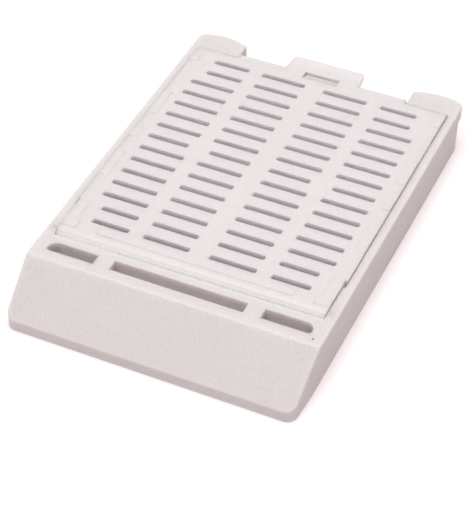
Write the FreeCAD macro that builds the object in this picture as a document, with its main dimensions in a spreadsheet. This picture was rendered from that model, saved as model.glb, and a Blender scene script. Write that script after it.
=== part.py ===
# Tissue cassette: a moulded tray with a sloped writing face and a slotted, hinged lid.
# Millimetres. +X right, +Y towards the rear, +Z up, origin under the middle of the footprint.
# Two mouldings: cassette_base (tray) and cassette_lid (lid with its hinge barrel and snap tab).

import FreeCAD, Part
import math
import os
import re
import Sketcher
from FreeCAD import Vector

doc = FreeCAD.newDocument("TissueCassette")

# ---------------------------------------------------------------- sizes
SIZES = [
    # tray outline
    ("overall_length", 42.0), ("overall_width", 28.5), ("side_draft", 0.1), ("rim_height", 4.9),
    ("band_height", 1.2), ("slope_run", 5.0), ("face_thickness", 1.0), ("front_corner", 1.0),
    ("face_taper", 0.3), ("brow_round", 0.5), ("edge_round", 0.2),
    # tray walls, floor and feet
    ("rim_thickness", 0.8), ("side_wall", 1.5), ("rear_wall", 1.3), ("hinge_wall", 1.03),
    ("front_skin", 1.0), ("hollow_side_wall", 1.1), ("rim_plate", 0.9), ("rib_thickness", 0.9),
    ("floor_thickness", 0.8), ("foot_height", 0.3), ("foot_ring", 1.1),
    # three openings in the front rim
    ("front_bar", 1.1), ("front_slot_depth", 1.22), ("centre_slot_length", 13.0),
    ("side_slot_margin", 1.4), ("front_web", 1.65), ("side_slot_rear_corner", 0.8),
    ("side_slot_front_corner", 0.3),
    # ears at the rear corners
    ("ear_overhang", 1.7), ("ear_depth", 2.88), ("ear_width", 5.15), ("ear_thickness", 1.4),
    ("ear_bow_radius", 6.0), ("ear_corner", 0.8),
    # lid plate and how it sits in the tray
    ("lid_thickness", 0.8), ("lid_rise", 0.2), ("lid_side_gap", 0.08), ("lid_seat_gap", 0.05),
    ("lid_rear_gap", 0.12), ("lid_rear_margin", 2.55),
    ("frame_clearance", 0.15), ("frame_width", 0.7), ("frame_depth", 0.7),
    # hinge
    ("barrel_radius", 0.65), ("barrel_gap", 0.1), ("barrel_end_gap", 0.08), ("seat_gap", 0.08),
    ("relief_rise", 0.2), ("cheek_width", 0.22), ("notch_length", 4.19), ("notch_gap", 0.7),
    ("pin_radius", 0.25), ("pin_gap", 0.05), ("pin_length", 0.6), ("pin_end_gap", 0.1),
    # slot grid, shared by the lid and the floor
    ("slot_width", 0.58), ("slot_corner", 0.12), ("middle_web", 1.96), ("column_web", 1.45),
    ("grid_margin", 1.82), ("first_row_offset", 1.99), ("last_row_margin", 2.04),
    ("corner_shortening", 0.85), ("middle_shortening", 0.4),
    # pads raised on the lid, placed from the hinge axis
    ("pad_height", 0.08), ("pad_width", 0.9), ("first_pad_from", 0.42), ("hinge_pad_width", 1.1),
    ("hinge_step_width", 1.5), ("hinge_step_length", 1.34), ("front_pad_margin", 3.4),
    ("front_pad_depth", 1.0), ("front_pad_corner", 0.35), ("rear_pad_depth", 0.5),
    ("second_pad_from", 8.1), ("second_pad_length", 3.9), ("third_pad_from", 14.3),
    ("third_pad_length", 1.6), ("fourth_pad_from", 18.3), ("fourth_pad_length", 3.6),
    ("fifth_pad_from", 27.6), ("fifth_pad_length", 1.75),
    # snap tab, its window, and the catch
    ("tab_length", 2.2), ("tab_width", 7.4), ("tab_root_width", 7.9), ("tab_thickness", 0.5),
    ("tab_corner", 0.3), ("window_width", 3.65), ("window_depth", 1.15), ("window_overlap", 0.4),
    ("nub_gap", 0.08), ("nub_root", 0.5), ("nub_front_drop", 0.1), ("nub_rear_drop", 0.4),
    ("hook_width", 5.2), ("hook_thickness", 0.5), ("hook_reach", 1.5), ("hook_gap", 0.2),
    ("catch_height", 0.1), ("catch_gap", 0.02), ("catch_drop", 0.6), ("barb_drop", 1.05),
    # cuts run past the solid by this much
    ("cut_margin", 1.0),
]
SLOT_ROWS = 15

sheet = doc.addObject("Spreadsheet::Sheet", "Sizes")
for row, (name, number) in enumerate(SIZES, start=1):
    sheet.set("A%d" % row, name)
    sheet.set("B%d" % row, str(number))
    sheet.setAlias("B%d" % row, name)
doc.recompute()
SIZE_NAMES = {name for name, number in SIZES}

# Places worked out from the sizes, used as words in the formulas below.
PLACES = {
    "front_y": "(-overall_length / 2)",
    "rear_y": "(overall_length / 2)",
    "half_width": "(overall_width / 2)",
    "slope_top_y": "(-overall_length / 2 + slope_run)",
    "slot_front_y": "(slope_top_y + front_bar)",
    "slot_rear_y": "(slot_front_y + front_slot_depth)",
    "chamber_front_y": "(slot_rear_y + hinge_wall)",
    "rear_wall_y": "(rear_y - ear_overhang)",
    "chamber_rear_y": "(rear_wall_y - rear_wall)",
    "ear_front_y": "(rear_y - ear_depth)",
    "ear_inner_x": "(half_width - ear_width)",
    "rim_inner_x": "(half_width - rim_thickness)",
    "chamber_x": "(half_width - side_wall)",
    "lid_top_z": "(rim_height + lid_rise)",
    "lid_under_z": "(lid_top_z - lid_thickness)",
    "ledge_z": "(lid_under_z - lid_seat_gap)",
    "floor_z": "(foot_height + floor_thickness)",
    "hinge_y": "(chamber_front_y + barrel_gap + barrel_radius)",
    "hinge_z": "(lid_top_z - barrel_radius)",
    "barrel_relief": "(rim_height - hinge_z - relief_rise)",
    "lid_x": "(rim_inner_x - lid_side_gap)",
    "cheek_x": "(rim_inner_x - cheek_width)",
    "barrel_x": "(cheek_x - barrel_end_gap)",
    "notch_rear_y": "(hinge_y + notch_length)",
    "cheek_rear_y": "(notch_rear_y - notch_gap)",
    "first_pad_y": "(hinge_y + first_pad_from)",
    "front_pad_x": "(barrel_x - front_pad_margin)",
    "lid_shoulder_y": "(ear_front_y - lid_rear_gap)",
    "lid_rear_y": "(rear_y - lid_rear_margin)",
    "tab_rear_y": "(lid_rear_y + tab_length)",
    "window_rear_y": "(lid_rear_y + window_overlap)",
    "window_front_y": "(window_rear_y - window_depth)",
    "first_row_y": "(hinge_y + first_row_offset)",
    "slot_pitch": "((lid_rear_y - last_row_margin - first_row_y) / %d)" % (SLOT_ROWS - 1),
    "slot_length": "((rim_inner_x - middle_web / 2 - column_web - grid_margin) / 2)",
    "inner_column": "(middle_web / 2 + slot_length / 2)",
    "outer_column": "(inner_column + slot_length + column_web)",
    "slope_lean": "(sqrt(slope_run ^ 2 + (rim_height - band_height) ^ 2) / slope_run)",
    "slope_rate": "((rim_height - band_height) / slope_run)",
}


def formula(text):
    """Expands places into sizes, and sizes into references to the sheet."""
    def swap(match):
        word = match.group(0)
        if word in PLACES:
            return formula(PLACES[word])
        return "Sizes." + word if word in SIZE_NAMES else word
    return re.sub(r"[a-z]+(?:_[a-z]+)+", swap, text)


def value(text):
    return float(sheet.evalExpression(formula(text)))


# ---------------------------------------------------------------- sketch helpers
def sketch_on(body, role, name, lift="0"):
    """A sketch on one of the body's own origin planes, lifted along that plane's normal."""
    sketch = body.newObject("Sketcher::SketchObject", name)
    plane = [item for item in body.Origin.OriginFeatures if item.Role == role][0]
    sketch.AttachmentSupport = [(plane, "")]
    sketch.MapMode = "FlatFace"
    sketch.setExpression("AttachmentOffset.Base.z", formula(lift))
    return sketch


def tie(sketch, kind, geometry, point, text):
    """Fixes a point's distance from the sketch origin, bound to a formula."""
    number = sketch.addConstraint(Sketcher.Constraint(kind, -1, 1, geometry, point, value(text)))
    sketch.setExpression("Constraints[%d]" % number, formula(text))


def outline(sketch, corners):
    """A closed run of straight lines through corners, each a pair of formulas."""
    first = sketch.GeometryCount
    count = len(corners)
    spots = [Vector(value(x), value(y), 0) for x, y in corners]
    for k in range(count):
        sketch.addGeometry(Part.LineSegment(spots[k], spots[(k + 1) % count]))
    for k, (x, y) in enumerate(corners):
        sketch.addConstraint(Sketcher.Constraint("Coincident", first + (k - 1) % count, 2, first + k, 1))
        tie(sketch, "DistanceX", first + k, 1, x)
        tie(sketch, "DistanceY", first + k, 1, y)


def rectangle(sketch, left, right, low, high):
    outline(sketch, [(left, low), (right, low), (right, high), (left, high)])


def rounded_rectangle(sketch, left, right, low, high, corner):
    """Four lines joined by four quarter arcs of one radius."""
    first = sketch.GeometryCount
    x0, x1, y0, y1, r = (value(text) for text in (left, right, low, high, corner))
    quarter = math.pi / 2
    lines = [((x0 + r, y0), (x1 - r, y0)), ((x1, y0 + r), (x1, y1 - r)),
             ((x1 - r, y1), (x0 + r, y1)), ((x0, y1 - r), (x0, y0 + r))]
    centres = [(x1 - r, y0 + r), (x1 - r, y1 - r), (x0 + r, y1 - r), (x0 + r, y0 + r)]
    for k in range(4):
        start, end = lines[k]
        sketch.addGeometry(Part.LineSegment(Vector(*start, 0), Vector(*end, 0)))
        circle = Part.Circle(Vector(*centres[k], 0), Vector(0, 0, 1), r)
        sketch.addGeometry(Part.ArcOfCircle(circle, (k - 1) * quarter, k * quarter))
    for k in range(4):
        line, arc, after = first + 2 * k, first + 2 * k + 1, first + (2 * k + 2) % 8
        sketch.addConstraint(Sketcher.Constraint("Tangent", line, 2, arc, 1))
        sketch.addConstraint(Sketcher.Constraint("Tangent", arc, 2, after, 1))
        number = sketch.addConstraint(Sketcher.Constraint("Radius", arc, r))
        sketch.setExpression("Constraints[%d]" % number, formula(corner))
    tie(sketch, "DistanceY", first, 1, low)
    tie(sketch, "DistanceX", first + 2, 1, right)
    tie(sketch, "DistanceY", first + 4, 1, high)
    tie(sketch, "DistanceX", first + 6, 1, left)


def clipped_rectangle(sketch, left, right, low, high, corner):
    """A rectangle with its four corners cut off at 45 degrees."""
    inner_left, inner_right = left + " + " + corner, right + " - " + corner
    inner_low, inner_high = low + " + " + corner, high + " - " + corner
    outline(sketch, [(inner_left, low), (inner_right, low), (right, inner_low), (right, inner_high),
                     (inner_right, high), (inner_left, high), (left, inner_high), (left, inner_low)])


def circle(sketch, x, y, radius):
    number = sketch.addGeometry(Part.Circle(Vector(value(x), value(y), 0), Vector(0, 0, 1), value(radius)))
    tie(sketch, "DistanceX", number, 3, x)
    tie(sketch, "DistanceY", number, 3, y)
    constraint = sketch.addConstraint(Sketcher.Constraint("Radius", number, value(radius)))
    sketch.setExpression("Constraints[%d]" % constraint, formula(radius))


# ---------------------------------------------------------------- feature helpers
def pad(body, sketch, length, symmetric=False, reverse=False):
    feature = body.newObject("PartDesign::Pad", sketch.Name + "_pad")
    feature.Profile = sketch
    feature.SideType = "Symmetric" if symmetric else "One side"
    feature.Reversed = reverse
    feature.setExpression("Length", formula(length))
    sketch.Visibility = False
    return feature


def pocket(body, sketch, length, symmetric=False, upward=False):
    """Cuts downward from the sketch, or upward, or the same way to both sides of it."""
    doc.recompute()
    before = body.Tip.Shape.Volume
    feature = body.newObject("PartDesign::Pocket", sketch.Name + "_cut")
    feature.Profile = sketch
    feature.SideType = "Symmetric" if symmetric else "One side"
    feature.Reversed = upward
    feature.setExpression("Length", formula(length))
    sketch.Visibility = False
    doc.recompute()
    if not feature.Shape.Volume < before - 1e-6:
        raise RuntimeError(feature.Name + " cuts nothing")
    return feature


def mirror(body, feature):
    """Repeats a feature on the other side of the cassette's middle plane."""
    copy = body.newObject("PartDesign::Mirrored", feature.Name + "_mirror")
    copy.Originals = [feature]
    plane = [item for item in body.Origin.OriginFeatures if item.Role == "YZ_Plane"][0]
    copy.MirrorPlane = (plane, [""])
    body.Tip = copy
    doc.recompute()
    return copy


def round_edges(body, name, radius, chosen):
    """Fillets the edges of the body's present shape for which chosen(edge) is true."""
    doc.recompute()
    base = body.Tip
    edges = ["Edge%d" % (k + 1) for k, edge in enumerate(base.Shape.Edges) if chosen(edge)]
    if not edges:
        raise RuntimeError(name + " finds no edge")
    feature = body.newObject("PartDesign::Fillet", name)
    feature.Base = (base, edges)
    feature.setExpression("Radius", formula(radius))
    doc.recompute()
    return feature


def near(a, b, tolerance=0.02):
    return abs(a - b) < tolerance


# ---------------------------------------------------------------- slot grid
def slot_rows(body, tag, top, depth, spans, first, count, corner):
    """Cuts left and right slots in the row called first, and repeats them over count rows."""
    sketch = sketch_on(body, "XY_Plane", tag, top)
    middle = "(first_row_y + %d * slot_pitch)" % first
    low, high = middle + " - slot_width / 2", middle + " + slot_width / 2"
    for near_x, far_x in spans:
        for start_x, end_x in ((near_x, far_x), ("-(%s)" % far_x, "-(%s)" % near_x)):
            if corner:
                clipped_rectangle(sketch, start_x, end_x, low, high, corner)
            else:
                rectangle(sketch, start_x, end_x, low, high)
    cut = pocket(body, sketch, depth)
    cut.Refine = False
    if count > 1:
        rows = body.newObject("PartDesign::LinearPattern", tag + "_rows")
        rows.Originals = [cut]
        rows.Direction = (sketch, ["V_Axis"])
        rows.Mode = "Spacing"
        rows.setExpression("Offset", formula("slot_pitch"))
        rows.Occurrences = count
        rows.Refine = False
        body.Tip = rows
        doc.recompute()


def slot_grid(body, tag, top, depth, corner=None):
    """Fifteen rows of four slots. Corner slots are cut short, and so is the middle row."""
    half = "slot_length / 2"
    inner = ("inner_column - " + half, "inner_column + " + half)
    outer = ("outer_column - " + half, "outer_column + " + half)
    short_corner = (outer[0], outer[1] + " - corner_shortening")
    short_inner = (inner[0], inner[1] + " - middle_shortening")
    short_outer = (outer[0] + " + middle_shortening", outer[1])
    middle = SLOT_ROWS // 2
    for block, first in (("Front", 0), ("Rear", middle + 1)):
        corner_first = 0 if block == "Front" else SLOT_ROWS - 2
        outer_first = 2 if block == "Front" else middle + 1
        slot_rows(body, tag + block + "Inner", top, depth, [inner], first, middle, corner)
        slot_rows(body, tag + block + "Outer", top, depth, [outer], outer_first, middle - 2, corner)
        slot_rows(body, tag + block + "Corner", top, depth, [short_corner], corner_first, 2, corner)
    slot_rows(body, tag + "Middle", top, depth, [short_inner, short_outer], middle, 1, corner)


# ---------------------------------------------------------------- tray
def outer_block(body):
    """Drafted outline, tapered beside the sloped writing face, with rounded front corners."""
    section = sketch_on(body, "XZ_Plane", "TraySection")
    foot_x = "half_width - side_draft"
    outline(section, [("-(%s)" % foot_x, "0"), (foot_x, "0"), ("half_width", "rim_height"),
                      ("-half_width", "rim_height")])
    pad(body, section, "overall_length", symmetric=True)
    sides = sketch_on(body, "XY_Plane", "FaceTaper", "rim_height + cut_margin")
    start, reach = "slope_top_y + brow_round", "cut_margin / (slope_run + brow_round)"
    outline(sides, [("half_width", start),
                    ("half_width - face_taper * (1 + " + reach + ")", "front_y - cut_margin"),
                    ("half_width + cut_margin", "front_y - cut_margin"),
                    ("half_width + cut_margin", start)])
    mirror(body, pocket(body, sides, "rim_height + 2 * cut_margin"))
    front = value("front_y")
    round_edges(body, "FrontCorners", "front_corner",
                lambda edge: all(near(v.Y, front) for v in edge.Vertexes)
                and abs(edge.Vertexes[0].Z - edge.Vertexes[-1].Z) > 1)
    slope = sketch_on(body, "YZ_Plane", "WritingSlope")
    outline(slope, [("front_y - cut_margin", "band_height - cut_margin * slope_rate"),
                    ("slope_top_y + cut_margin", "rim_height + cut_margin * slope_rate"),
                    ("front_y - cut_margin", "rim_height + cut_margin * slope_rate")])
    pocket(body, slope, "overall_width + cut_margin", symmetric=True)
    top_y, rim = value("slope_top_y"), value("rim_height")
    round_edges(body, "Brow", "brow_round",
                lambda edge: all(near(v.Y, top_y) and near(v.Z, rim) for v in edge.Vertexes))


def rear_corners(body):
    """Leaves an ear at each rear corner: a thick lip with a bowed rear edge."""
    under = sketch_on(body, "YZ_Plane", "UnderEars")
    rectangle(under, "rear_wall_y", "rear_y + cut_margin", "-cut_margin", "rim_height - ear_thickness")
    pocket(body, under, "overall_width + cut_margin", symmetric=True)
    between = sketch_on(body, "XY_Plane", "BetweenEars", "rim_height + cut_margin")
    rectangle(between, "-ear_inner_x", "ear_inner_x", "rear_wall_y", "rear_y + cut_margin")
    pocket(body, between, "rim_height + cut_margin")

    bow = sketch_on(body, "XY_Plane", "EarBow", "rim_height + cut_margin")
    middle_x, radius = value("half_width - ear_width / 2"), value("ear_bow_radius")
    centre = Vector(middle_x, value("rear_y") - radius, 0)
    reach = value("ear_width / 2 + cut_margin")
    drop = radius - (radius ** 2 - reach ** 2) ** 0.5
    left = Vector(middle_x - reach, value("rear_y") - drop, 0)
    right = Vector(middle_x + reach, value("rear_y") - drop, 0)
    top = value("rear_y + cut_margin")
    arc = Part.Arc(right, Vector(middle_x, value("rear_y"), 0), left)
    bow.addGeometry(arc)
    bow.addGeometry(Part.LineSegment(left, Vector(left.x, top, 0)))
    bow.addGeometry(Part.LineSegment(Vector(left.x, top, 0), Vector(right.x, top, 0)))
    bow.addGeometry(Part.LineSegment(Vector(right.x, top, 0), right))
    for k in range(1, 3):
        bow.addConstraint(Sketcher.Constraint("Coincident", k, 2, k + 1, 1))
    bow.addConstraint(Sketcher.Constraint("Coincident", 0, 2, 1, 1))
    bow.addConstraint(Sketcher.Constraint("Coincident", 3, 2, 0, 1))
    tie(bow, "DistanceX", 0, 3, "half_width - ear_width / 2")
    tie(bow, "DistanceY", 0, 3, "rear_y - ear_bow_radius")
    number = bow.addConstraint(Sketcher.Constraint("Radius", 0, radius))
    bow.setExpression("Constraints[%d]" % number, formula("ear_bow_radius"))
    tie(bow, "DistanceX", 1, 2, "half_width - ear_width - cut_margin")
    tie(bow, "DistanceY", 1, 2, "rear_y + cut_margin")
    tie(bow, "DistanceX", 2, 2, "half_width + cut_margin")
    bow.addConstraint(Sketcher.Constraint("Vertical", 1))
    bow.addConstraint(Sketcher.Constraint("Horizontal", 2))
    bow.addConstraint(Sketcher.Constraint("Vertical", 3))
    mirror(body, pocket(body, bow, "rim_height + 2 * cut_margin"))
    half, rear = value("half_width"), value("rear_y")
    ear_low = value("rim_height - ear_thickness")
    round_edges(body, "EarCorners", "ear_corner",
                lambda edge: all(abs(v.X) > half - 0.2 and v.Y > rear - 1.5 for v in edge.Vertexes)
                and near(min(v.Z for v in edge.Vertexes), ear_low)
                and abs(edge.Vertexes[0].Z - edge.Vertexes[-1].Z) > 0.5)


def chamber(body):
    """Specimen chamber, the lid's recess with its hinge cheeks, and the seats for the hinge."""
    well = sketch_on(body, "XY_Plane", "Chamber", "rim_height + cut_margin")
    rectangle(well, "-chamber_x", "chamber_x", "chamber_front_y", "chamber_rear_y")
    pocket(body, well, "rim_height + cut_margin - floor_z")

    recess = sketch_on(body, "XY_Plane", "LidRecess", "ledge_z")
    right = [("cheek_x", "chamber_front_y"), ("cheek_x", "cheek_rear_y"), ("rim_inner_x", "cheek_rear_y"),
             ("rim_inner_x", "ear_front_y"), ("ear_inner_x", "ear_front_y"),
             ("ear_inner_x", "rear_wall_y + cut_margin")]
    outline(recess, right + [("-" + x, y) for x, y in reversed(right)])
    pocket(body, recess, "rim_height + cut_margin - ledge_z", upward=True)

    relief = sketch_on(body, "YZ_Plane", "BarrelRelief")
    outline(relief, [("chamber_front_y", "rim_height - barrel_relief"),
                     ("chamber_front_y", "rim_height + barrel_relief"),
                     ("chamber_front_y - 2 * barrel_relief", "rim_height + barrel_relief")])
    pocket(body, relief, "2 * cheek_x", symmetric=True)
    seat = sketch_on(body, "YZ_Plane", "HingeSeat")
    circle(seat, "hinge_y", "hinge_z", "barrel_radius + seat_gap")
    pocket(body, seat, "2 * cheek_x", symmetric=True)
    socket = sketch_on(body, "YZ_Plane", "PinSocket")
    circle(socket, "hinge_y", "hinge_z", "pin_radius + pin_gap")
    pocket(body, socket, "2 * (barrel_x + pin_length + pin_end_gap)", symmetric=True)


def underside(body):
    """Foot ring under the floor, and the hollow with two ribs behind the writing face."""
    foot = sketch_on(body, "XY_Plane", "FootRing")
    rectangle(foot, "-(half_width - foot_ring)", "half_width - foot_ring",
              "chamber_front_y", "rear_wall_y - foot_ring")
    pocket(body, foot, "foot_height", upward=True)

    lean = "face_thickness * slope_lean"
    inner_front = "front_y + front_skin"
    roof = "rim_height - rim_plate"
    inner_front_z = "band_height + front_skin * slope_rate - " + lean
    slope_end_z = "rim_height - " + lean
    profile = [(inner_front, "-cut_margin"), (inner_front, inner_front_z),
               ("slope_top_y", slope_end_z), ("slot_front_y", roof), ("slot_rear_y", roof),
               ("slot_rear_y", "-cut_margin")]
    hollow = sketch_on(body, "YZ_Plane", "FaceHollow")
    outline(hollow, profile)
    pocket(body, hollow, "2 * (half_width - hollow_side_wall)", symmetric=True)

    rib_x = "centre_slot_length / 2 + front_web / 2 - rib_thickness / 2"
    rib = sketch_on(body, "YZ_Plane", "FaceRib", rib_x)
    sunk = "0.2 * face_thickness"
    outline(rib, [(inner_front + " - " + sunk, "foot_height"),
                  (inner_front + " - " + sunk, inner_front_z),
                  ("slope_top_y", slope_end_z + " + " + sunk), ("slot_front_y", roof + " + " + sunk),
                  ("slot_rear_y + " + sunk, roof + " + " + sunk), ("slot_rear_y + " + sunk, "foot_height")])
    mirror(body, pad(body, rib, "rib_thickness"))


def front_openings(body):
    """Three slots through the front rim. The outer two have unequally rounded outer ends."""
    centre = sketch_on(body, "XY_Plane", "CentreFrontSlot", "rim_height + cut_margin")
    rectangle(centre, "-centre_slot_length / 2", "centre_slot_length / 2", "slot_front_y", "slot_rear_y")
    pocket(body, centre, "rim_plate + 2 * cut_margin")
    side = sketch_on(body, "XY_Plane", "SideFrontSlot", "rim_height + cut_margin")
    near_x = "centre_slot_length / 2 + front_web"
    far_x = "half_width - side_slot_margin"
    rectangle(side, near_x, far_x, "slot_front_y", "slot_rear_y")
    mirror(body, pocket(body, side, "rim_plate + 2 * cut_margin"))
    end_x = value(far_x)
    for which in ("front", "rear"):
        corner_y = value("slot_%s_y" % which)
        round_edges(body, "SideSlot" + which.title(), "side_slot_%s_corner" % which,
                    lambda edge: all(near(abs(v.X), end_x) and near(v.Y, corner_y) for v in edge.Vertexes)
                    and abs(edge.Vertexes[0].Z - edge.Vertexes[-1].Z) > 0.2)


def rear_catch(body):
    """A sloped nub on the rear wall that fills the tab's window, and a catch bead behind the wall."""
    nub = sketch_on(body, "YZ_Plane", "WindowNub")
    front, back = "window_front_y + nub_gap", "window_rear_y - nub_gap"
    outline(nub, [("chamber_rear_y", "ledge_z - nub_root"), (back, "ledge_z - nub_root"),
                  (back, "lid_top_z - nub_rear_drop"), (front, "lid_top_z - nub_front_drop"),
                  (front, "ledge_z")])
    pad(body, nub, "window_width - 2 * nub_gap", symmetric=True)
    bead = sketch_on(body, "YZ_Plane", "CatchBead")
    peak = "ledge_z - catch_drop"
    outline(bead, [("rear_wall_y - catch_height", peak + " - 2 * catch_height"),
                   ("rear_wall_y", peak + " - catch_height"),
                   ("rear_wall_y + catch_height", peak),
                   ("rear_wall_y", peak + " + 2 * catch_height"),
                   ("rear_wall_y - catch_height", peak + " + 2 * catch_height")])
    pad(body, bead, "hook_width", symmetric=True)


def soften_tray(body):
    """One small round along the outer edge of the rim and all round the writing face."""
    half, rim, rear = value("half_width"), value("rim_height"), value("rear_wall_y")
    front, band, rate = value("front_y"), value("band_height"), value("slope_rate")
    side = half - value("side_draft + face_taper") - 0.05

    def on_top(v):
        on_slope = near(v.Z, band + (v.Y - front) * rate)
        return on_slope or near(v.Z, rim) and v.Y < rear + 0.5

    def outer_edge(edge):
        ends = edge.Vertexes
        if len(ends) < 2 or not all(on_top(v) for v in ends):
            return False
        across = abs(ends[0].X - ends[1].X) > 2 and not near(ends[0].Y, front)
        outside = all(abs(v.X) > side or v.Y < front + value("front_corner") for v in ends)
        return outside and not across
    round_edges(body, "OuterRounds", "edge_round", outer_edge)


def build_tray():
    body = doc.addObject("PartDesign::Body", "Tray")
    body.Label = "cassette_base"
    outer_block(body)
    rear_corners(body)
    soften_tray(body)
    chamber(body)
    underside(body)
    front_openings(body)
    rear_catch(body)
    slot_grid(body, "Floor", "floor_z", "floor_thickness + cut_margin")
    return body


# ---------------------------------------------------------------- lid
def lid_plate(body):
    """Flat plate, narrower between the hinge cheeks, with shoulders in front of the ears."""
    plate = sketch_on(body, "XY_Plane", "LidPlate", "lid_under_z")
    right = [("barrel_x", "hinge_y"), ("barrel_x", "notch_rear_y"),
             ("lid_x", "notch_rear_y"), ("lid_x", "lid_shoulder_y"),
             ("ear_inner_x - lid_rear_gap", "lid_shoulder_y"), ("ear_inner_x - lid_rear_gap", "lid_rear_y")]
    left = [("-(%s)" % x, y) for x, y in reversed(right)]
    outline(plate, right + left)
    pad(body, plate, "lid_thickness")
    doc.recompute()


def snap_tab(body):
    """Thin tab behind the lid, with a hook that reaches down behind the tray's rear wall."""
    tab = sketch_on(body, "XY_Plane", "SnapTab", "lid_top_z")
    root = "lid_rear_y - frame_width"
    outline(tab, [("-tab_root_width / 2", root), ("tab_root_width / 2", root),
                  ("tab_root_width / 2", "lid_rear_y"), ("tab_width / 2", "tab_rear_y"),
                  ("-tab_width / 2", "tab_rear_y"), ("-tab_root_width / 2", "lid_rear_y")])
    pad(body, tab, "tab_thickness", reverse=True)
    rear, half = value("tab_rear_y"), value("tab_width / 2")
    round_edges(body, "TabCorners", "tab_corner",
                lambda edge: all(near(v.Y, rear) and near(abs(v.X), half) for v in edge.Vertexes)
                and edge.Length < half)
    hook = sketch_on(body, "YZ_Plane", "TabHook")
    inner = "rear_wall_y + hook_gap"
    barb = "rear_wall_y + catch_height + catch_gap"
    tip_z = "lid_top_z - tab_thickness - hook_reach"
    barb_z = "ledge_z - barb_drop"
    outline(hook, [(inner, "lid_top_z - tab_thickness / 2"), (inner, barb_z + " + catch_height"),
                   (barb, barb_z), (inner, tip_z), (inner + " + hook_thickness", tip_z),
                   (inner + " + hook_thickness", "lid_top_z - tab_thickness / 2")])
    pad(body, hook, "hook_width", symmetric=True)
    doc.recompute()


def under_frame(body):
    """Stiffening frame under the plate that drops inside the chamber."""
    frame = sketch_on(body, "XY_Plane", "UnderFrame", "lid_under_z")
    outer_x = "chamber_x - frame_clearance"
    front, rear = "hinge_y + barrel_radius - frame_width / 3", "chamber_rear_y - frame_clearance"
    rectangle(frame, "-(%s)" % outer_x, outer_x, front, rear)
    inner_x = outer_x + " - frame_width"
    rectangle(frame, "-(%s)" % inner_x, inner_x, front + " + frame_width", rear + " - frame_width")
    pad(body, frame, "frame_depth", reverse=True)
    doc.recompute()


def hinge_barrel(body):
    """Round bar along the lid's front edge, with a short pin at each end."""
    barrel = sketch_on(body, "YZ_Plane", "HingeBarrel")
    circle(barrel, "hinge_y", "hinge_z", "barrel_radius")
    pad(body, barrel, "2 * barrel_x", symmetric=True)
    pin = sketch_on(body, "YZ_Plane", "HingePins")
    circle(pin, "hinge_y", "hinge_z", "pin_radius")
    pad(body, pin, "2 * (barrel_x + pin_length)", symmetric=True)
    doc.recompute()


def raised_pads(body):
    """Low pads along both sides, a long one behind the hinge, and the steps at the rear."""
    side = sketch_on(body, "XY_Plane", "HingePads", "lid_top_z")
    outline(side, [("barrel_x - hinge_step_width", "first_pad_y"), ("barrel_x", "first_pad_y"),
                   ("barrel_x", "notch_rear_y"), ("barrel_x - hinge_pad_width", "notch_rear_y"),
                   ("barrel_x - hinge_pad_width", "hinge_y + hinge_step_length"),
                   ("barrel_x - hinge_step_width", "hinge_y + hinge_step_length")])
    mirror(body, pad(body, side, "pad_height"))
    edge = sketch_on(body, "XY_Plane", "EdgePads", "lid_top_z")
    for which in ("second", "third", "fourth", "fifth"):
        start = "hinge_y + %s_pad_from" % which
        rectangle(edge, "lid_x - pad_width", "lid_x", start, start + " + %s_pad_length" % which)
    mirror(body, pad(body, edge, "pad_height"))
    front = sketch_on(body, "XY_Plane", "FrontPad", "lid_top_z")
    rounded_rectangle(front, "-front_pad_x", "front_pad_x", "first_pad_y",
                      "first_pad_y + front_pad_depth", "front_pad_corner")
    pad(body, front, "pad_height")
    rear = sketch_on(body, "XY_Plane", "RearPads", "lid_top_z")
    rectangle(rear, "tab_root_width / 2", "ear_inner_x - lid_rear_gap",
              "lid_rear_y - rear_pad_depth", "lid_rear_y")
    mirror(body, pad(body, rear, "pad_height / 2"))


def tab_window(body):
    window = sketch_on(body, "XY_Plane", "TabWindow", "lid_top_z + cut_margin")
    rectangle(window, "-window_width / 2", "window_width / 2", "window_front_y", "window_rear_y")
    pocket(body, window, "lid_thickness + frame_depth + 2 * cut_margin")


def build_lid():
    body = doc.addObject("PartDesign::Body", "Lid")
    body.Label = "cassette_lid"
    lid_plate(body)
    snap_tab(body)
    under_frame(body)
    hinge_barrel(body)
    raised_pads(body)
    tab_window(body)
    slot_grid(body, "Lid", "lid_top_z", "lid_thickness", "slot_corner")
    return body


# ---------------------------------------------------------------- build, test and write
bodies = [build_tray(), build_lid()]
doc.recompute()

for item in doc.Objects:
    if "Invalid" in item.State or "Error" in item.State:
        raise RuntimeError("%s is in state %s" % (item.Name, item.State))
for body in bodies:
    shape = body.Shape
    if shape.isNull() or not shape.isValid() or len(shape.Solids) != 1:
        raise RuntimeError("%s is not one valid solid" % body.Label)

os.makedirs("parts", exist_ok=True)
for body in bodies:
    body.Shape.exportStep("parts/%s.step" % body.Label)
    box = body.Shape.BoundBox
    print("%s: %.1f mm3, x %.2f..%.2f, y %.2f..%.2f, z %.2f..%.2f" % (
        body.Label, body.Shape.Volume, box.XMin, box.XMax, box.YMin, box.YMax, box.ZMin, box.ZMax))
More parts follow.
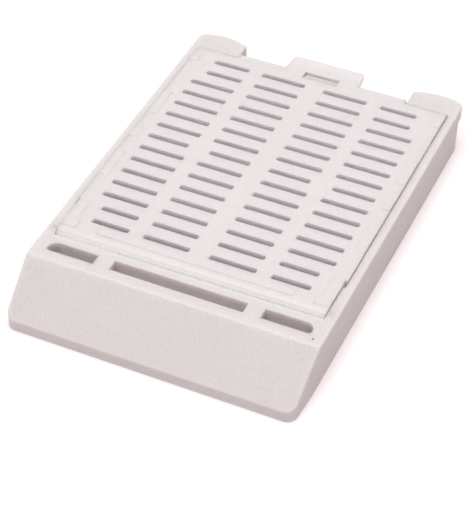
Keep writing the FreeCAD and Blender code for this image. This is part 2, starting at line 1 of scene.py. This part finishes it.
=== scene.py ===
# A pale grey tissue cassette: moulded tray with a writing face, slotted lid, plain pale floor
import bpy
import bmesh
from math import radians
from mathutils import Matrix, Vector


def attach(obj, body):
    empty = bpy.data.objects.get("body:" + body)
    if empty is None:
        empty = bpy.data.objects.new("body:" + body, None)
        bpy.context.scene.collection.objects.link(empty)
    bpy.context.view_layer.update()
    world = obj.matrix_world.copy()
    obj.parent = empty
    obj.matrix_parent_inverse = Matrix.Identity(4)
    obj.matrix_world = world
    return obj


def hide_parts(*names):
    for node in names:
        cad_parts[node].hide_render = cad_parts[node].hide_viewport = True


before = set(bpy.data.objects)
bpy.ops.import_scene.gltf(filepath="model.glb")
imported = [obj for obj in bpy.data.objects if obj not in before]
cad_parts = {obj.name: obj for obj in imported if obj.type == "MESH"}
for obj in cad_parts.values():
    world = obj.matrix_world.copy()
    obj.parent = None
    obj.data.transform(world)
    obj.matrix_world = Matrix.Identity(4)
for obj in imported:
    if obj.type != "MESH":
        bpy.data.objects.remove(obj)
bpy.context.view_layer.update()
mm = 0.001
scene = bpy.context.scene


# shader maths: a socket with operators, and one call for any other node
class Wire:
    def __init__(self, tree, socket):
        self.tree = tree
        self.socket = socket

    def make(self, kind, settings, inputs, output=0):
        node = self.tree.nodes.new(kind)
        for name, setting in settings.items():
            setattr(node, name, setting)
        for name, given in inputs.items():
            if isinstance(given, Wire):
                self.tree.links.new(given.socket, node.inputs[name])
            else:
                node.inputs[name].default_value = given
        return Wire(self.tree, node.outputs[output])

    def maths(self, operation, first, second):
        return self.make("ShaderNodeMath", {"operation": operation}, {0: first, 1: second})

    def __add__(self, other):
        return self.maths("ADD", self, other)

    def __radd__(self, other):
        return self.maths("ADD", other, self)

    def __sub__(self, other):
        return self.maths("SUBTRACT", self, other)

    def __rsub__(self, other):
        return self.maths("SUBTRACT", other, self)

    def __mul__(self, other):
        return self.maths("MULTIPLY", self, other)

    def __rmul__(self, other):
        return self.maths("MULTIPLY", other, self)

    def between(self, low, high):
        return self.make("ShaderNodeMapRange", {"interpolation_type": "SMOOTHSTEP"},
                         {"Value": self, "From Min": low, "From Max": high})

    def noise(self, size, detail, roughness=0.55):
        return self.make("ShaderNodeTexNoise", {},
                         {"Vector": self, "Scale": 1 / size, "Detail": detail,
                          "Roughness": roughness})

    def mix(self, first, second):
        return self.make("ShaderNodeMix", {"data_type": "RGBA"},
                         {"Factor": self, 6: first, 7: second}, 2)


# one inside the box, nought outside; the box is mirrored in the middle plane
def boxMask(place, low, high, soft):
    side = place.make("ShaderNodeVectorMath", {"operation": "ABSOLUTE"}, {0: place})
    mask = 1.0
    for axis, source in enumerate((side, place, place)):
        along = source.make("ShaderNodeSeparateXYZ", {}, {0: source}, axis)
        past = along.between(low[axis] - soft, low[axis])
        mask = mask * past * (1 - along.between(high[axis], high[axis] + soft))
    return mask


# mouldings: each CAD node is copied, merged, and given slightly rounded edges
softness = {"mergeReach": 0.002 * mm, "flatAngle": radians(0.6), "sharpAngle": radians(40),
            "round": 0.05 * mm, "shortest": 0.1 * mm, "steps": 2, "tidyReach": 0.001 * mm}


def within(edge, low, high):
    ends = [(abs(vert.co.x), vert.co.y, vert.co.z) for vert in edge.verts]
    return all(low[axis] < end[axis] < high[axis] for end in ends for axis in range(3))


def softened(nodeName, pieceName, body, settings):
    work = bmesh.new()
    work.from_mesh(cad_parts[nodeName].data)
    bmesh.ops.remove_doubles(work, verts=work.verts, dist=softness["mergeReach"])
    bmesh.ops.dissolve_limit(work, angle_limit=softness["flatAngle"], verts=work.verts,
                             edges=work.edges, use_dissolve_boundaries=False, delimit={"NORMAL"})
    sharp = {edge for edge in work.edges if edge.calc_face_angle(0) > softness["sharpAngle"]}
    short = {edge for edge in sharp if edge.calc_length() < softness["shortest"]}
    busy = {vert for edge in short for vert in edge.verts}
    chosen = [edge for edge in sharp - short if not busy.intersection(edge.verts)
              and not any(within(edge, *box) for box in settings["crisp"])]
    chosen.sort(key=lambda edge: edge.index)
    bmesh.ops.bevel(work, geom=chosen, affect="EDGES", offset=softness["round"],
                    offset_type="OFFSET", segments=softness["steps"], profile=0.5,
                    clamp_overlap=False, material=-1)
    bmesh.ops.remove_doubles(work, verts=work.verts, dist=softness["tidyReach"])
    for face in work.faces:
        face.smooth = True
        face.material_index = 0
    for edge in work.edges:
        edge.smooth = edge.calc_face_angle(0) < softness["sharpAngle"]
    mesh = bpy.data.meshes.new(pieceName)
    work.to_mesh(mesh)
    work.free()
    mesh.materials.clear()
    mesh.materials.append(plasticMaterial(settings))
    piece = bpy.data.objects.new(pieceName, mesh)
    scene.collection.objects.link(piece)
    shading = piece.modifiers.new("flatShading", "WEIGHTED_NORMAL")
    shading.keep_sharp = True
    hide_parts(nodeName)
    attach(piece, body)


# plastic: pale moulded resin with a fine grain. Painted light and shade: each box is a low
# corner, a high corner and a tint:
# painted paler in deep and narrow places, where little light gets in, and darker where shade
# falls on the window nub. Edges in a crisp box stay sharp
resin = {"cloudDetail": 4.0, "cloudLow": 0.35, "cloudHigh": 0.65, "fineDetail": 2.0,
         "paintedSoft": 0.03 * mm, "speckCore": 0.5, "ior": 1.48, "glowWeight": 1.0,
         "glowReach": (1.2 * mm, 1.2 * mm, 1.2 * mm)}

# the low side of a box that reaches across the middle plane
middle = -1 * mm

trayPlastic = {
    "name": "trayResin",
    "colour": (0.642, 0.611, 0.602, 1), "cloud": (0.632, 0.602, 0.593, 1), "cloudSize": 6 * mm,
    # painted light: paler tints lift the shade in the chamber, front slots, lid recess, hinge
    # wall and behind the catch; the window nub tint is painted shade
    "paintedLightAndShade": {
        "chamber": ((middle, -0.0127, 0.0009), (0.0129, 0.0181, 0.0043),
                    (0.715, 0.673, 0.688, 1)),
        "frontSlots": ((middle, -0.0150, 0.0), (0.0132, -0.0136, 0.00484),
                       (0.705, 0.655, 0.668, 1)),
        "lidRecess": ((middle, -0.01222, 0.0040), (0.01348, 0.0177, 0.00485),
                      (0.77, 0.74, 0.738, 1)),
        "hingeWall": ((middle, -0.01297, 0.0040), (0.01348, -0.0123, 0.00485),
                      (0.84, 0.82, 0.82, 1)),
        "windowNub": ((middle, 0.01772, 0.0043), (0.0018, 0.01872, 0.0052),
                      (0.56, 0.53, 0.52, 1)),
        "behindCatch": ((middle, 0.01872, 0.0040), (0.0023, 0.0192, 0.0048),
                        (0.90, 0.86, 0.86, 1)),
    },
    "crisp": [((0.0130, -0.014, 0.0047), (0.0137, 0.020, 0.0051))],
    "speck": (0.01327, -0.01538, 0.0049), "speckSize": 0.13 * mm,
    "speckColour": (0.16, 0.12, 0.12, 1),
    "mottleSize": 0.22 * mm, "mottle": 0.22, "grainSize": 0.11 * mm, "grainDepth": 0.016 * mm,
    "roughness": 0.52, "roughSpread": 0.10, "specular": 0.42,
}
lidPlastic = {
    "name": "lidResin",
    "colour": (0.668, 0.641, 0.638, 1), "cloud": (0.660, 0.632, 0.630, 1), "cloudSize": 7 * mm,
    # painted light: paler tints lift the shade in the slots and underside, the side edges, the
    # barrel front and foot, and behind the window
    "paintedLightAndShade": {
        "slotsAndUnderside": ((middle, -0.0112, 0.0029), (0.0128, 0.0178, 0.00503),
                              (0.715, 0.668, 0.692, 1)),
        "sideEdges": ((0.0131, -0.0120, 0.0040), (0.0135, 0.0181, 0.00505),
                      (0.84, 0.79, 0.79, 1)),
        "barrelFront": ((middle, -0.0128, 0.0036), (0.0134, -0.0121, 0.00487),
                        (0.77, 0.74, 0.745, 1)),
        "barrelFoot": ((middle, -0.0128, 0.0036), (0.0134, -0.0121, 0.00464),
                       (0.95, 0.92, 0.925, 1)),
        "windowRear": ((middle, 0.0187, 0.0040), (0.0019, 0.0189, 0.00506),
                       (0.90, 0.86, 0.86, 1)),
    },
    "crisp": [((0.0130, -0.014, 0.0047), (0.0137, 0.0185, 0.0053))],
    "mottleSize": 0.26 * mm, "mottle": 0.13, "grainSize": 0.10 * mm, "grainDepth": 0.007 * mm,
    "roughness": 0.46, "roughSpread": 0.08, "specular": 0.45,
}


def plasticMaterial(settings):
    material = bpy.data.materials.new(settings["name"])
    material.use_nodes = True
    tree = material.node_tree
    shader = tree.nodes["Principled BSDF"]
    shader.inputs["Specular IOR Level"].default_value = settings["specular"]
    shader.inputs["IOR"].default_value = resin["ior"]
    shader.inputs["Subsurface Weight"].default_value = resin["glowWeight"]
    shader.inputs["Subsurface Radius"].default_value = resin["glowReach"]
    shader.inputs["Subsurface Scale"].default_value = 1.0
    place = Wire(tree, tree.nodes.new("ShaderNodeTexCoord").outputs["Object"])

    cloud = place.noise(settings["cloudSize"], resin["cloudDetail"])
    cloud = cloud.between(resin["cloudLow"], resin["cloudHigh"])
    grain = place.noise(settings["grainSize"], resin["fineDetail"])
    mottle = place.noise(settings["mottleSize"], resin["fineDetail"])
    mottle = (mottle - 0.5) * settings["mottle"] + 1
    tint = cloud.mix(settings["colour"], settings["cloud"])
    # paint the boxes of painted light and shade over the resin colour
    for low, high, paintedTint in settings["paintedLightAndShade"].values():
        tint = boxMask(place, low, high, resin["paintedSoft"]).mix(tint, paintedTint)
    if "speck" in settings:
        away = place.make("ShaderNodeVectorMath", {"operation": "DISTANCE"},
                          {0: place, 1: settings["speck"]}, 1)
        away = away.between(settings["speckSize"] * resin["speckCore"], settings["speckSize"])
        tint = away.mix(settings["speckColour"], tint)
    colour = place.make("ShaderNodeVectorMath", {"operation": "SCALE"},
                        {0: tint, "Scale": mottle})
    rough = settings["roughness"] + (grain - 0.5) * settings["roughSpread"]
    bump = place.make("ShaderNodeBump", {}, {"Strength": 1.0, "Distance": settings["grainDepth"],
                                             "Height": grain})
    tree.links.new(colour.socket, shader.inputs["Base Color"])
    tree.links.new(rough.socket, shader.inputs["Roughness"])
    tree.links.new(bump.socket, shader.inputs["Normal"])
    return material


softened("cassette_base", "trayShell", "tray", trayPlastic)
softened("cassette_lid", "lidShell", "lid", lidPlastic)
print("mouldings made")

# stage: floor, lights and camera
stageSetup = {"floorSize": 1.6, "floorColour": (0.60, 0.542, 0.547, 1), "floorRough": 0.9,
              "floorShine": 0.1, "floorLight": (1.0, 0.925, 0.932, 1), "floorGlow": 0.37,
              "worldColour": (1.0, 0.87, 0.88, 1), "worldStrength": 0.16}
floorWork = bmesh.new()
bmesh.ops.create_grid(floorWork, x_segments=1, y_segments=1, size=stageSetup["floorSize"] / 2)
floorMesh = bpy.data.meshes.new("studioFloor")
floorWork.to_mesh(floorMesh)
floorWork.free()
floor = bpy.data.objects.new("studioFloor", floorMesh)
scene.collection.objects.link(floor)
floorMaterial = bpy.data.materials.new("floorPaper")
floorMaterial.use_nodes = True
floorShader = floorMaterial.node_tree.nodes["Principled BSDF"]
floorShader.inputs["Base Color"].default_value = stageSetup["floorColour"]
floorShader.inputs["Roughness"].default_value = stageSetup["floorRough"]
floorShader.inputs["Specular IOR Level"].default_value = stageSetup["floorShine"]
floorShader.inputs["Emission Color"].default_value = stageSetup["floorLight"]
floorShader.inputs["Emission Strength"].default_value = stageSetup["floorGlow"]
floorMesh.materials.append(floorMaterial)

world = bpy.data.worlds.new("studioWorld")
world.use_nodes = True
sky = world.node_tree.nodes["Background"]
sky.inputs["Color"].default_value = stageSetup["worldColour"]
sky.inputs["Strength"].default_value = stageSetup["worldStrength"]
scene.world = world


def aimed(name, data, place, aim):
    holder = bpy.data.objects.new(name, data)
    holder.location = place
    towards = Vector(aim) - Vector(place)
    holder.rotation_euler = towards.to_track_quat("-Z", "Y").to_euler()
    scene.collection.objects.link(holder)
    return holder


lamps = {
    "overhead": {"place": (0, 0, 0.60), "aim": (0, 0, 0), "size": 0.30, "power": 3.0},
    "rearLamp": {"place": (0, 0.34, 0.50), "aim": (0, 0, 0), "size": 0.30, "power": 0.5},
    "frontLamp": {"place": (0, -0.27, 0.52), "aim": (0, 0, 0), "size": 0.30, "power": 1.02},
}
for name, lamp in lamps.items():
    light = bpy.data.lights.new(name, "AREA")
    light.shape = "SQUARE"
    light.size = lamp["size"]
    light.energy = lamp["power"]
    aimed(name, light, lamp["place"], lamp["aim"])

view = {"place": (0.051498, -0.114524, 0.113003), "aim": (0.002483, -0.00749, 0.0025),
        "lens": 136.0, "sensorWidth": 36, "nearest": 0.005}
cameraData = bpy.data.cameras.new("camera")
cameraData.sensor_fit = "HORIZONTAL"
cameraData.sensor_width = view["sensorWidth"]
cameraData.lens = view["lens"]
cameraData.clip_start = view["nearest"]
camera = aimed("camera", cameraData, view["place"], view["aim"])
scene.camera = camera
scene.view_settings.view_transform = "Standard"
print("stage set")
